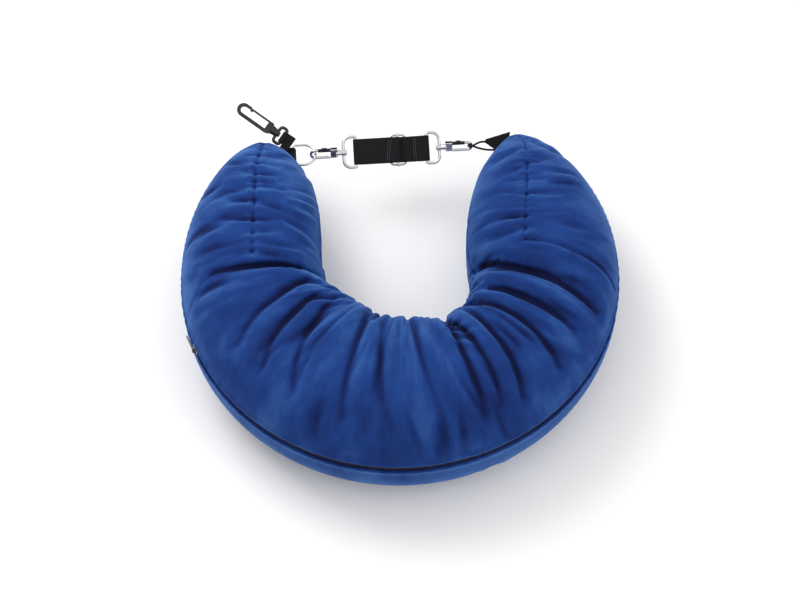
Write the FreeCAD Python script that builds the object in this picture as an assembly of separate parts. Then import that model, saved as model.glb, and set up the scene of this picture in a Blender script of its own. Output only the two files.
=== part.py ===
"""A stuffable U shaped neck pillow with a clip-on strap, built as separate pieces.

Units are millimetres. +Z is up and the pillow lies on the plane Z = 0. The origin is the centre of the
U's outer circle, +Y points from the back of the neck towards the two tips, and +X is the wearer's right.
"""
import FreeCAD
import Part
import math
import os

V = FreeCAD.Vector

# ---------------------------------------------------------------- pillow body
OUTER_R = 207.5          # radius of the U's outer edge
HALF_WIDTH = 70.0        # half the tube's width where the arms start
BACK_SWELL = 8.0         # extra half width at the back of the neck
HALF_HEIGHT = 63.0       # half the tube's height before it sags flat
CENTRE_Z = 60.0          # height of the tube's centre line
SPLIT_DEG = 12.0         # the arms bend at this angle below the X axis
SPLIT_GAP_DEG = 0.25     # half the gap between the back and each arm
ARM_LENGTH = 153.0       # Y of the arm's tip
ARM_LEAN = 19.0          # how far the tip leans in from the arm's start
SHELL = 2.5              # plush fabric with its lining
FILL_GAP = 2.0           # room for the zip tapes between fabric and filling
SEAM_Z = 74.0            # height of the seam and zip round the outer edge
BASE_PANEL_Y = 8.0       # where the arm's base panel meets its two upper panels
SECTION_POINTS = 20
SQUARENESS = 2.3         # 2 is an ellipse, larger is boxier

# ---------------------------------------------------------------- zip
ZIP_START_DEG = 198.0
ZIP_END_DEG = 342.0
ZIP_OPEN_HALF = 2.6      # half the slot in the fabric that shows the coils
COIL_HALF_GAP = 0.6
COIL_HEIGHT = 1.9
COIL_DEPTH = 1.6
TAPE_THICK = 0.5
TAPE_HEIGHT = 6.5

# ---------------------------------------------------------------- strap
STRAP_Y = 147.0          # the strap's axis, which runs along X
STRAP_Z = 64.0
STRAP_TILT = 30.0        # turn of the webbing's face about X, from level
WEB = 25.0               # webbing width
WEB_T = 1.3              # webbing thickness
LEFT_BAR_X = -34.5       # bar of the left swivel loop
RIGHT_BAR_X = 34.5       # bar of the right swivel loop
SLIDER_X = 6.5           # centre bar of the adjuster
LOOP_WIRE = 1.55         # wire radius of the swivel loops
LOOP_DEPTH = 12.5        # swivel loop, bar to far side, on centre lines
LOOP_HALF = 14.9         # swivel loop, half height on the centre line
HOOK_REACH = 27.5        # swivel loop's far side to the centre of the hook's nose
HOOK_TURN = 40.0         # turn of each hook about the strap's axis
HOOK_HALF = 4.3          # hook limb to hook axis
HOOK_WIRE = 1.5
PIVOT_X = 74.5           # centre of each hook's nose, where the strap turns, left and right

# ---------------------------------------------------------------- D ring
RING_WIRE = 1.2
RING_R = 11.5
RING_DEPTH = 21.5        # bar to far side, on centre lines
RING_BAR_X = -PIVOT_X - RING_DEPTH      # the ring's far side lies in the hook's nose
RING_TURN = -30.0
TAB_WEB = 14.0

# ---------------------------------------------------------------- plastic clip
CLIP_AT = V(-104.9, 160.2, 76.3)      # centre of the clip's webbing bar
CLIP_DIR_DEG = 141.5                  # the clip's direction in the strap's plane
CLIP_LENGTH = 54.0

OUT = "parts"


def save(name, *shapes):
    """Writes one node from one or more solids."""
    solids = []
    for shape in shapes:
        solids.extend(shape.Solids)
    bad = [s for s in solids if not s.isValid() or s.Volume <= 0]
    if bad or not solids:
        print("check", name, "solids", len(solids), "bad", len(bad))
    body = solids[0] if len(solids) == 1 else Part.makeCompound(solids)
    body.exportStep(os.path.join(OUT, name + ".step"))


def fused(*shapes):
    body = shapes[0]
    for other in shapes[1:]:
        body = body.fuse(other)
    return body.removeSplitter()


def rod(start, end, radius):
    axis = end.sub(start)
    return Part.makeCylinder(radius, axis.Length, start, axis)


def round_wire(edges, radius):
    """A round bar that follows a path of edges, open or closed."""
    path = Part.Wire(edges)
    first = path.OrderedEdges[0]
    start = first.valueAt(first.FirstParameter)
    tangent = first.tangentAt(first.FirstParameter)
    profile = Part.Wire(Part.makeCircle(radius, start, tangent))
    return path.makePipeShell([profile], True, False)


def block(x0, x1, y0, y1, z0, z1):
    return Part.makeBox(x1 - x0, y1 - y0, z1 - z0, V(x0, y0, z0))


def arc(p0, p1, p2):
    return Part.Arc(p0, p1, p2).toShape()


def line(p0, p1):
    return Part.LineSegment(p0, p1).toShape()


# ================================================================ pillow body
def back_half_width(deg):
    return HALF_WIDTH + BACK_SWELL * math.sin(math.radians(deg)) ** 2


def section_wire(centre, outward, half_width, half_height):
    """One upright cross section of the tube, always started on its outer side."""
    points = []
    for i in range(SECTION_POINTS):
        t = 2 * math.pi * i / SECTION_POINTS
        c, s = math.cos(t), math.sin(t)
        u = math.copysign(abs(c) ** (2 / SQUARENESS), c) * half_width
        w = math.copysign(abs(s) ** (2 / SQUARENESS), s) * half_height
        points.append(V(centre) + V(outward) * u + V(0, 0, w))
    curve = Part.BSplineCurve()
    curve.interpolate(points, PeriodicFlag=True)
    return Part.Wire(curve.toShape())


def back_station(deg, inset):
    a = math.radians(deg)
    outward = V(math.cos(a), math.sin(a), 0)
    half = back_half_width(deg)
    return section_wire(outward * (OUTER_R - half), outward, half - inset, HALF_HEIGHT - inset)


ARM_R = (ARM_LENGTH ** 2 + ARM_LEAN ** 2) / (2 * ARM_LEAN)


def arm_taper(share):
    return max(1 - share * share, 0.0)


def left_arm_station(share, inset):
    """share is 0 where the arm leaves the back's circle and 1 at the tip."""
    start_x = -(OUTER_R - HALF_WIDTH)
    full = math.asin(ARM_LENGTH / ARM_R)
    a = full * share
    centre = V(start_x + ARM_R * (1 - math.cos(a)), ARM_R * math.sin(a), CENTRE_Z)
    outward = V(-math.cos(a), math.sin(a), 0)
    half = HALF_WIDTH * arm_taper(share) ** 0.75 - inset
    tall = HALF_HEIGHT * arm_taper(share) ** 0.60 - inset
    return section_wire(centre, outward, half, tall)


def tip_share(inset):
    """The last station that still has some width left after the inset."""
    smallest = 4.0
    width_share = ((smallest + inset) / HALF_WIDTH) ** (1 / 0.75)
    return math.sqrt(1 - width_share)


def settle(shape, floor_z):
    """The weight of the pillow presses its underside flat."""
    wide = 2 * OUTER_R
    return shape.cut(block(-wide, wide, -wide, wide, floor_z - 100, floor_z))


def back_solid(inset):
    first = 180 + SPLIT_DEG + SPLIT_GAP_DEG
    last = 360 - SPLIT_DEG - SPLIT_GAP_DEG
    steps = 12
    wires = []
    for i in range(steps + 1):
        wire = back_station(first + (last - first) * i / steps, inset)
        wire.translate(V(0, 0, CENTRE_Z))
        wires.append(wire)
    return settle(Part.makeLoft(wires, True, False), inset)


def left_arm_solid(inset):
    wires = []
    for deg in (180 + SPLIT_DEG - SPLIT_GAP_DEG, 187.0):
        wire = back_station(deg, inset)
        wire.translate(V(0, 0, CENTRE_Z))
        wires.append(wire)
    last = tip_share(inset)
    for i in range(11):
        wires.append(left_arm_station(last * math.sin(math.pi / 2 * i / 10), inset))
    return settle(Part.makeLoft(wires, True, False), inset)


def mirrored(shape):
    return shape.mirror(V(0, 0, 0), V(1, 0, 0))


def wide_slab(z0, z1):
    wide = 2 * OUTER_R
    return block(-wide, wide, -wide, wide, z0, z1)


def bent_outline(outline, start_deg, end_deg):
    """A closed outline of (radius, height) pairs, swept round the origin."""
    corners = [V(r, 0, z) for r, z in outline + outline[:1]]
    face = Part.Face(Part.makePolygon(corners))
    band = face.revolve(V(0, 0, 0), V(0, 0, 1), end_deg - start_deg)
    band.rotate(V(0, 0, 0), V(0, 0, 1), start_deg)
    return band


def ring_band(r0, r1, z0, z1, start_deg, end_deg):
    return bent_outline([(r0, z0), (r1, z0), (r1, z1), (r0, z1)], start_deg, end_deg)


def edge_radius(z, inset=0.0):
    """Radius of the outer edge at height z, for a tube drawn in by inset."""
    drop = abs((z - CENTRE_Z) / (HALF_HEIGHT - inset)) ** SQUARENESS
    half = HALF_WIDTH + BACK_SWELL / 2 - inset
    return OUTER_R - inset - half * (1 - (1 - drop) ** (1 / SQUARENESS))


def panels(outer, inner):
    """Splits a tube of fabric at the seam into an upper and a lower panel."""
    skin = outer.cut(inner)
    hair = 0.05
    upper = skin.common(wide_slab(SEAM_Z + hair, SEAM_Z + 100))
    lower = skin.common(wide_slab(-10, SEAM_Z - hair))
    return upper, lower


def make_pillow():
    back_outer = back_solid(0)
    back_upper, back_lower = panels(back_outer, back_solid(SHELL))
    slot = ring_band(OUTER_R - 12, OUTER_R + 12, SEAM_Z - ZIP_OPEN_HALF, SEAM_Z + ZIP_OPEN_HALF,
                     ZIP_START_DEG - 1.5, ZIP_END_DEG + 1.5)
    save("back_upper_panel", back_upper.cut(slot))
    save("back_lower_panel", back_lower.cut(slot))
    save("back_filling", back_solid(SHELL + FILL_GAP))

    arm_upper, arm_lower = panels(left_arm_solid(0), left_arm_solid(SHELL))
    # The dart seam runs along the middle of the arm's top, from its tip to the base panel.
    centre = V(ARM_R - (OUTER_R - HALF_WIDTH), 0, 0)
    seam_cut = Part.makeCylinder(ARM_R, 200, centre).cut(Part.makeCylinder(ARM_R - 0.1, 200, centre))
    inner_side = Part.makeCylinder(ARM_R - 0.05, 200, centre)
    base = block(-300, 0, -100, BASE_PANEL_Y, 0, 200)
    beyond = block(-300, 0, BASE_PANEL_Y + 0.1, 200, 0, 200)
    top = arm_upper.common(beyond).cut(seam_cut)
    arm = {
        "arm_base_panel": arm_upper.common(base),
        "arm_inner_panel": top.common(inner_side),
        "arm_outer_panel": top.cut(inner_side),
        "arm_lower_panel": arm_lower,
        "arm_filling": left_arm_solid(SHELL + FILL_GAP),
    }
    for name, shape in arm.items():
        save("left_" + name, shape)
        save("right_" + name, mirrored(shape))


# ================================================================ zip
def make_zip():
    r = edge_radius(SEAM_Z)
    inner = r - COIL_DEPTH
    for side, sign in (("upper", 1), ("lower", -1)):
        z_near = SEAM_Z + sign * COIL_HALF_GAP
        z_far = SEAM_Z + sign * (COIL_HALF_GAP + COIL_HEIGHT)
        coil = ring_band(inner, r, min(z_near, z_far), max(z_near, z_far), ZIP_START_DEG, ZIP_END_DEG)
        save(f"zip_{side}_coil", coil)
        z_end = z_near + sign * TAPE_HEIGHT
        near_r = edge_radius(z_near, SHELL + FILL_GAP / 2)
        end_r = edge_radius(z_end, SHELL + FILL_GAP / 2)
        half = TAPE_THICK / 2
        tape = bent_outline([(near_r - half, z_near), (near_r + half, z_near), (end_r + half, z_end),
                             (end_r - half, z_end)], ZIP_START_DEG - 1.2, ZIP_END_DEG + 1.2)
        save(f"zip_{side}_tape", tape)
    stops = []
    for start in (ZIP_START_DEG - 0.8, ZIP_END_DEG + 0.15):
        stops.append(ring_band(inner, r, SEAM_Z - 2.3, SEAM_Z + 2.3, start, start + 0.65))
    save("zip_end_stops", *stops)
    make_zip_slider(r, inner)


def make_zip_slider(r, inner):
    """The slider is an H in section: a plate outside the coils, one inside, and a web in their gap."""
    start, end = ZIP_START_DEG + 0.3, ZIP_START_DEG + 3.3
    outside = ring_band(r + 0.7, r + 1.7, SEAM_Z - 3.6, SEAM_Z + 3.6, start, end)
    web = ring_band(inner - 0.7, r + 1.0, SEAM_Z - 0.45, SEAM_Z + 0.45, start + 0.5, end - 0.5)
    inside = ring_band(inner - 0.9, inner - 0.15, SEAM_Z - 1.9, SEAM_Z + 1.9, start, end)
    middle = math.radians((start + end) / 2)
    out = V(math.cos(middle), math.sin(middle), 0)
    along = V(-math.sin(middle), math.cos(middle), 0)
    pin_at = out * (r + 3.4) + V(0, 0, SEAM_Z)
    half = 2.6
    cheeks = []
    for sign in (-1, 1):
        foot = out * (r + 1.2) + V(0, 0, SEAM_Z + sign * half)
        head = pin_at + V(0, 0, sign * half)
        cheeks.append(rod(foot, head, 0.8))
        cheeks.append(Part.makeSphere(0.8, head))
    pin = rod(pin_at - V(0, 0, half), pin_at + V(0, 0, half), 0.55)
    save("zip_slider", fused(outside, web, inside, pin, *cheeks))
    # The pull tab lies back along the zip and turns about the slider's pin.
    length, half_wide = 17.0, 1.7
    away = along * -1
    turn = FreeCAD.Rotation(away, out, V(0, 0, 1), "XYZ")
    place = FreeCAD.Placement(pin_at, turn)
    tab = block(0, length, -0.6, 0.6, -half_wide, half_wide)
    eye = Part.makeCylinder(1.35, 2 * half_wide, V(0, 0, -half_wide))
    tab = tab.fuse(eye).cut(Part.makeCylinder(0.6, 10, V(0, 0, -5)))
    grip = Part.makeCylinder(1.0, 4, V(length - 3.2, -2, 0), V(0, 1, 0))
    tab = tab.cut(grip)
    tab.Placement = place
    save("zip_pull", tab.removeSplitter())


# ================================================================ strap
def strap_place(turn_deg=0.0):
    """Strap frame to world: local X along the strap, Y across the webbing, Z out of its face."""
    turn = FreeCAD.Rotation(V(1, 0, 0), STRAP_TILT + turn_deg)
    return FreeCAD.Placement(V(0, STRAP_Y, STRAP_Z), turn)


def placed(shape, placement):
    moved = shape.copy()
    moved.Placement = placement.multiply(moved.Placement)
    return moved


def stadium(x0, x1, half, corner, far_corner=None):
    """A closed rounded rectangle of edges in the XY plane. The far corners are those at x0."""
    c = corner
    f = corner if far_corner is None else far_corner
    k = c * (1 - math.sqrt(0.5))
    m = f * (1 - math.sqrt(0.5))
    return [
        line(V(x0, -half + f, 0), V(x0, half - f, 0)),
        arc(V(x0, half - f, 0), V(x0 + m, half - m, 0), V(x0 + f, half, 0)),
        line(V(x0 + f, half, 0), V(x1 - c, half, 0)),
        arc(V(x1 - c, half, 0), V(x1 - k, half - k, 0), V(x1, half - c, 0)),
        line(V(x1, half - c, 0), V(x1, -half + c, 0)),
        arc(V(x1, -half + c, 0), V(x1 - k, -half + k, 0), V(x1 - c, -half, 0)),
        line(V(x1 - c, -half, 0), V(x0 + f, -half, 0)),
        arc(V(x0 + f, -half, 0), V(x0 + m, -half + m, 0), V(x0, -half + f, 0)),
    ]


BOSS_R, BOSS_BORE, BOSS_HALF = 3.3, 1.75, 2.0
STEM_R, HEAD_R, HEAD_T = 1.7, 2.7, 1.3


def swivel_loop():
    """Loop for the webbing with a bored boss. Its far side is at X = 0 and its bar at X = LOOP_DEPTH."""
    loop = round_wire(stadium(0, LOOP_DEPTH, LOOP_HALF, 2.3, 7.0), LOOP_WIRE)
    boss = Part.makeCylinder(BOSS_R, 2 * BOSS_HALF, V(-BOSS_HALF, 0, 0), V(1, 0, 0))
    bore = Part.makeCylinder(BOSS_BORE, 4 * BOSS_HALF, V(-2 * BOSS_HALF, 0, 0), V(1, 0, 0))
    return loop.fuse(boss).cut(bore)


GATE_PIN_X = -HOOK_REACH + 17.0
GATE_PIN_Y = HOOK_HALF - 0.6


def hook_body():
    """Swivel hook with its nose towards -X: stem, barrel, lower limb, nose and upper tip."""
    nose_x = -HOOK_REACH
    stem = Part.makeCylinder(STEM_R, BOSS_HALF * 2 + 1.2, V(-BOSS_HALF - 0.6, 0, 0), V(1, 0, 0))
    head = Part.makeCylinder(HEAD_R, HEAD_T, V(BOSS_HALF + 0.15, 0, 0), V(1, 0, 0))
    barrel = Part.makeCone(3.6, 2.6, 5.0, V(-BOSS_HALF - 5.15, 0, 0), V(1, 0, 0))
    # The cheeks stand each side of the gate and carry its pin.
    lug = block(GATE_PIN_X - 2.2, -BOSS_HALF - 4.0, -4.2, GATE_PIN_Y + 2.0, -2.3, 2.3)
    slot = block(GATE_PIN_X - 3.2, GATE_PIN_X + 4.2, -1.6, GATE_PIN_Y + 4, -1.35, 1.35)
    pin_hole = Part.makeCylinder(0.75, 10, V(GATE_PIN_X, GATE_PIN_Y, -5))
    lug = lug.makeFillet(0.8, [e for e in lug.Edges if abs(e.tangentAt(e.FirstParameter).x) > 0.9])
    r = HOOK_HALF
    path = [
        line(V(GATE_PIN_X + 1.5, -2.6, 0), V(GATE_PIN_X - 4.0, -r, 0)),
        line(V(GATE_PIN_X - 4.0, -r, 0), V(nose_x, -r, 0)),
        arc(V(nose_x, -r, 0), V(nose_x - r, 0, 0), V(nose_x, r, 0)),
    ]
    limb = round_wire(path[1:], HOOK_WIRE)
    root = rod(V(GATE_PIN_X + 1.5, -2.8, 0), V(GATE_PIN_X - 4.0, -r, 0), HOOK_WIRE)
    knuckle = Part.makeSphere(HOOK_WIRE, V(GATE_PIN_X - 4.0, -r, 0))
    tip = rod(V(nose_x, r, 0), V(nose_x + 2.2, r, 0), HOOK_WIRE)
    body = fused(stem, head, barrel, lug, root, knuckle, limb, tip)
    return body.cut(slot).cut(pin_hole)


def gate_body():
    """Sprung gate: it turns about the pin and shuts against the hook's upper tip."""
    tip_x = -HOOK_REACH + 2.35
    bar = block(tip_x, GATE_PIN_X, GATE_PIN_Y - 1.0, GATE_PIN_Y + 1.6, -1.2, 1.2)
    thumb = block(tip_x + 4.0, tip_x + 9.0, GATE_PIN_Y + 1.4, GATE_PIN_Y + 2.6, -1.2, 1.2)
    thumb = thumb.makeFillet(0.45, [e for e in thumb.Edges if abs(e.tangentAt(0).z) > 0.9])
    eye = Part.makeCylinder(1.9, 2.4, V(GATE_PIN_X, GATE_PIN_Y, -1.2))
    hole = Part.makeCylinder(0.72, 10, V(GATE_PIN_X, GATE_PIN_Y, -5))
    return fused(bar, thumb, eye).cut(hole)


def gate_pin():
    shaft = Part.makeCylinder(0.68, 4.9, V(GATE_PIN_X, GATE_PIN_Y, -2.45))
    heads = [Part.makeCylinder(1.15, 0.4, V(GATE_PIN_X, GATE_PIN_Y, z)) for z in (-2.8, 2.4)]
    return fused(shaft, *heads)


def gate_spring():
    """A short coil behind the gate, seated in the slot's floor."""
    helix = Part.makeHelix(0.75, 2.2, 0.75)
    start = helix.Edges[0].valueAt(helix.Edges[0].FirstParameter)
    tangent = helix.Edges[0].tangentAt(helix.Edges[0].FirstParameter)
    profile = Part.Wire(Part.makeCircle(0.18, start, tangent))
    coil = Part.Wire(helix.Edges).makePipeShell([profile], True, True)
    coil.Placement = FreeCAD.Placement(V(GATE_PIN_X - 0.6, -1.3, 0), FreeCAD.Rotation(V(1, 0, 0), -90))
    return coil


def web_profile(points, width):
    """A strip of webbing: a closed outline in XZ, extruded across the strap."""
    face = Part.Face(Part.makePolygon([V(x, -width / 2, z) for x, z in points + points[:1]]))
    return face.extrude(V(0, width, 0))


def wrap(bar_x, towards, leg_top, leg_bottom, bar_r, width=WEB, z_bottom=None, bar_z=0.0):
    """Webbing folded round a bar. Legs run towards +X or -X, and their lengths are from the bar."""
    r0, r1 = bar_r + 0.1, bar_r + 0.1 + WEB_T
    fold = Part.makeCylinder(r1, width, V(bar_x, -width / 2, bar_z), V(0, 1, 0))
    fold = fold.cut(Part.makeCylinder(r0, width * 2, V(bar_x, -width, bar_z), V(0, 1, 0)))
    keep = block(bar_x - 10, bar_x, -20, 20, bar_z - 10, bar_z + 10)
    if towards < 0:
        keep = block(bar_x, bar_x + 10, -20, 20, bar_z - 10, bar_z + 10)
    fold = fold.common(keep)
    top_end = bar_x + towards * leg_top
    top = block(min(bar_x, top_end), max(bar_x, top_end), -width / 2, width / 2, bar_z + r0, bar_z + r1)
    bottom_end = bar_x + towards * leg_bottom
    if z_bottom is None:
        bottom = block(min(bar_x, bottom_end), max(bar_x, bottom_end), -width / 2, width / 2,
                       bar_z - r1, bar_z - r0)
    else:
        ramp = bar_x + towards * 6.0
        bottom = web_profile([(bar_x, bar_z - r0), (bar_x, bar_z - r1), (ramp, z_bottom),
                              (bottom_end, z_bottom), (bottom_end, z_bottom + WEB_T),
                              (ramp, z_bottom + WEB_T)], width)
    return fused(fold, top, bottom)


RUN_Z = -1.55 - WEB_T              # underside of the webbing run
UNDER_Z = RUN_Z - WEB_T - 0.1      # underside of the left loop's lower leg
SLIDER_WIRE = 1.1
BAR_Z = -1.45 + 0.1 + WEB_T + SLIDER_WIRE
FRAME_Z = UNDER_Z - 0.15 - SLIDER_WIRE


def strap_left_loop():
    reach = SLIDER_X - LEFT_BAR_X + 8.0
    body = wrap(LEFT_BAR_X, 1, 4.0, reach, LOOP_WIRE, z_bottom=UNDER_Z)
    return body


def strap_return_layer():
    """Upper layer from the left loop to the adjuster. It shortens as the adjuster slides left."""
    r0 = LOOP_WIRE + 0.1
    return block(LEFT_BAR_X + 4.1, SLIDER_X - 13.2, -WEB / 2, WEB / 2, r0, r0 + WEB_T)


def strap_sewn_end():
    """The webbing's end, folded round the adjuster's centre bar and sewn to itself."""
    body = wrap(SLIDER_X, -1, 13.0, 11.0, SLIDER_WIRE, bar_z=BAR_Z)
    return body


def strap_run():
    """Lower layer, sewn round the right loop's bar and running back through the adjuster."""
    r0 = LOOP_WIRE + 0.1
    left_end = LEFT_BAR_X + 9.0
    bar = RIGHT_BAR_X
    fold = wrap(bar, -1, 5.0, 5.0, LOOP_WIRE)
    tail = web_profile([(bar - 4.9, r0), (bar - 4.9, r0 + WEB_T), (bar - 9.0, RUN_Z + 2 * WEB_T + 0.6),
                        (bar - 14.0, RUN_Z + 2 * WEB_T + 0.15), (bar - 14.0, RUN_Z + WEB_T + 0.05),
                        (bar - 9.5, RUN_Z + WEB_T + 0.05)], WEB)
    run = web_profile([(bar - 4.9, -r0), (bar - 4.9, -r0 - WEB_T), (bar - 8, RUN_Z),
                       (left_end, RUN_Z), (left_end, RUN_Z + WEB_T), (bar - 8, RUN_Z + WEB_T)], WEB)
    return fused(fold, tail, run)


def slider_frame():
    half_long, half_high = 9.0 - SLIDER_WIRE, WEB / 2 + 0.9 + SLIDER_WIRE
    frame = round_wire(stadium(SLIDER_X - half_long, SLIDER_X + half_long, half_high, 4.0), SLIDER_WIRE)
    frame.translate(V(0, 0, FRAME_Z))
    return frame


def slider_bar():
    """The adjuster's centre bar, with its ends curled round the frame."""
    high = WEB / 2 + 0.9 + SLIDER_WIRE
    bar = rod(V(SLIDER_X, -high, BAR_Z), V(SLIDER_X, high, BAR_Z), SLIDER_WIRE)
    parts = [bar]
    for sign in (-1, 1):
        parts.append(Part.makeSphere(SLIDER_WIRE, V(SLIDER_X, sign * high, BAR_Z)))
        parts.append(rod(V(SLIDER_X, sign * high, FRAME_Z), V(SLIDER_X, sign * high, BAR_Z), SLIDER_WIRE))
        curl = Part.makeCylinder(SLIDER_WIRE + 0.9, 2.4, V(SLIDER_X - 1.2, sign * high, FRAME_Z), V(1, 0, 0))
        parts.append(curl)
    body = fused(*parts)
    for sign in (-1, 1):
        body = body.cut(rod(V(SLIDER_X - 5, sign * high, FRAME_Z), V(SLIDER_X + 5, sign * high, FRAME_Z),
                            SLIDER_WIRE + 0.03))
    return body


def stitches(x_list, z0, z1, half=WEB / 2 - 2.0, count=8):
    """Rows of short thread stitches across the webbing, standing a little proud of it."""
    made = []
    pitch = 2 * half / count
    for x in x_list:
        for i in range(count):
            y = -half + pitch * (i + 0.5)
            made.append(block(x - 0.3, x + 0.3, y - pitch * 0.33, y + pitch * 0.33, z0, z1))
    return made


def make_strap():
    flat = strap_place()
    save("strap_left_loop", placed(strap_left_loop(), flat))
    save("strap_return_layer", placed(strap_return_layer(), flat))
    save("strap_sewn_end", placed(strap_sewn_end(), flat))
    save("strap_run", placed(strap_run(), flat))
    save("slider_frame", placed(slider_frame(), flat))
    save("slider_bar", placed(slider_bar(), flat))
    top = BAR_Z + SLIDER_WIRE + 0.1 + WEB_T
    rows = stitches([SLIDER_X - 10.4, SLIDER_X - 12.2], top + 0.02, top + 0.3)
    save("slider_stitching", *[placed(s, flat) for s in rows])
    tail_top = RUN_Z + 2 * WEB_T + 0.62
    rows = stitches([RIGHT_BAR_X - 12.6, RIGHT_BAR_X - 10.4], tail_top, tail_top + 0.28)
    save("strap_stitching", *[placed(s, flat) for s in rows])


def make_hooks():
    """The left hook's nose points to -X. The right one is the same hook turned end for end."""
    turned = FreeCAD.Rotation(V(0, 1, 0), 180)
    for side, far_x, hook_turn in (("left", LEFT_BAR_X - LOOP_DEPTH, HOOK_TURN),
                                   ("right", RIGHT_BAR_X + LOOP_DEPTH, HOOK_TURN)):
        spin = FreeCAD.Rotation() if side == "left" else turned
        loop_place = strap_place().multiply(FreeCAD.Placement(V(far_x, 0, 0), spin))
        hook_place = strap_place(hook_turn).multiply(FreeCAD.Placement(V(far_x, 0, 0), spin))
        save(side + "_swivel_loop", placed(swivel_loop(), loop_place))
        save(side + "_hook", placed(hook_body(), hook_place))
        save(side + "_gate", placed(gate_body(), hook_place))
        save(side + "_gate_pin", placed(gate_pin(), hook_place))
        save(side + "_gate_spring", placed(gate_spring(), hook_place))


# ================================================================ left end: D ring, tab and plastic clip
def d_ring():
    corner = 2.0
    half = RING_R
    bend = RING_DEPTH - RING_R
    k = corner * (1 - math.sqrt(0.5))
    path = [
        line(V(0, half - corner, 0), V(0, -half + corner, 0)),
        arc(V(0, -half + corner, 0), V(k, -half + k, 0), V(corner, -half, 0)),
        line(V(corner, -half, 0), V(bend, -half, 0)),
        arc(V(bend, -half, 0), V(RING_DEPTH, 0, 0), V(bend, half, 0)),
        line(V(bend, half, 0), V(corner, half, 0)),
        arc(V(corner, half, 0), V(k, half - k, 0), V(0, half - corner, 0)),
    ]
    return round_wire(path, RING_WIRE)


def fold_tab(width, wire, length, thick=WEB_T):
    """A short webbing tab folded round a bar at the origin, its two legs running to -X."""
    r0, r1 = wire + 0.15, wire + 0.15 + thick
    fold = Part.makeCylinder(r1, width, V(0, -width / 2, 0), V(0, 1, 0))
    fold = fold.cut(Part.makeCylinder(r0, width * 2, V(0, -width, 0), V(0, 1, 0)))
    fold = fold.common(block(0, 10, -20, 20, -10, 10))
    legs = web_profile([(0, r1), (0, r0), (-5, 0.05), (-length, 0.05), (-length, 0.05 + thick),
                        (-5, 0.05 + thick)], width)
    under = web_profile([(0, -r0), (0, -r1), (-5, -0.05 - thick), (-length, -0.05 - thick),
                         (-length, -0.05), (-5, -0.05)], width)
    return fused(fold, legs), under


def make_left_end():
    ring_place = strap_place(RING_TURN).multiply(FreeCAD.Placement(V(RING_BAR_X, 0, 0), FreeCAD.Rotation()))
    save("d_ring", placed(d_ring(), ring_place))
    upper, under = fold_tab(TAB_WEB, RING_WIRE, 20.0)
    tab = fused(upper, under)
    tab = placed(tab, ring_place).cut(left_arm_solid(0))
    pieces = sorted(tab.Solids, key=lambda solid: solid.Volume)
    save("left_end_tab", pieces[-1])
    return pieces[-1]


def clip_place():
    """Clip frame: local X along the clip, Y along its webbing bar, Z out of its face."""
    in_plane = FreeCAD.Rotation(V(0, 0, 1), CLIP_DIR_DEG)
    turn = FreeCAD.Rotation(V(1, 0, 0), STRAP_TILT).multiply(in_plane)
    return FreeCAD.Placement(CLIP_AT, turn)


CLIP_BAR = 1.6
CLIP_WEB = 12.0
CLIP_BOSS_X = 9.5
CLIP_EYE = 4.9            # the hook's axis to the middle of each limb
CLIP_LIMB = 1.8           # half the limb's thickness


def clip_base():
    """Webbing loop of the plastic clip, with a bored head for the hook's stem."""
    half = CLIP_WEB / 2 + 0.6 + CLIP_BAR
    frame = round_wire(stadium(0, 7.5, half, 2.6), CLIP_BAR)
    head = Part.makeCylinder(4.0, 4.6, V(CLIP_BOSS_X - 2.6, 0, 0), V(1, 0, 0))
    bore = Part.makeCylinder(2.25, 20, V(CLIP_BOSS_X - 8, 0, 0), V(1, 0, 0))
    return frame.fuse(head).cut(bore)


def clip_hook():
    """Moulded J hook with a ribbed back and a stem snapped into the base."""
    x0, x1 = CLIP_BOSS_X + 2.2, CLIP_LENGTH - CLIP_EYE - CLIP_LIMB
    stem = Part.makeCylinder(2.2, x0 - CLIP_BOSS_X + 5.0, V(CLIP_BOSS_X - 4.6, 0, 0), V(1, 0, 0))
    barb = Part.makeCylinder(2.7, 1.1, V(CLIP_BOSS_X - 5.0, 0, 0), V(1, 0, 0))
    collar = Part.makeCylinder(4.4, 3.2, V(x0, 0, 0), V(1, 0, 0))
    shoulder = block(x0 + 2.6, x0 + 8.6, -6.0, 6.0, -2.3, 2.3)
    shoulder = shoulder.makeFillet(1.5, [e for e in shoulder.Edges if abs(e.tangentAt(0).z) > 0.9])
    r, t = CLIP_EYE, CLIP_LIMB
    back = block(x0 + 6, x1, r - t, r + t, -2.2, 2.2)
    nose = Part.makeCylinder(r + t, 4.4, V(x1, 0, -2.2)).cut(Part.makeCylinder(r - t, 10, V(x1, 0, -5)))
    nose = nose.common(block(x1, x1 + 20, -20, 20, -5, 5))
    tip = block(x1 - 5.5, x1, -r - t, -r + 1.2, -2.2, 2.2)
    body = fused(stem, barb, collar, shoulder, back, nose, tip)
    rib_out = block(x0 + 9, x1 - 1, r - 0.7, r + 0.7, 1.4, 5)
    rib_in = block(x0 + 9, x1 - 1, r - 0.7, r + 0.7, -5, -1.4)
    notch = block(x0 + 7.0, x0 + 12, -7.0, -2.2, -1.45, 1.45)
    return body.cut(rib_out).cut(rib_in).cut(notch)


def clip_gate():
    """Springy tongue that shuts the clip's mouth and bends in at its root."""
    x0, x1 = CLIP_BOSS_X + 2.2, CLIP_LENGTH - CLIP_EYE - CLIP_LIMB
    bar = block(x0 + 7.3, x1 - 5.7, -6.0, -4.0, -1.3, 1.3)
    hooked = block(x1 - 8.2, x1 - 5.7, -4.2, -2.6, -1.3, 1.3)
    return fused(bar, hooked)


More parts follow.
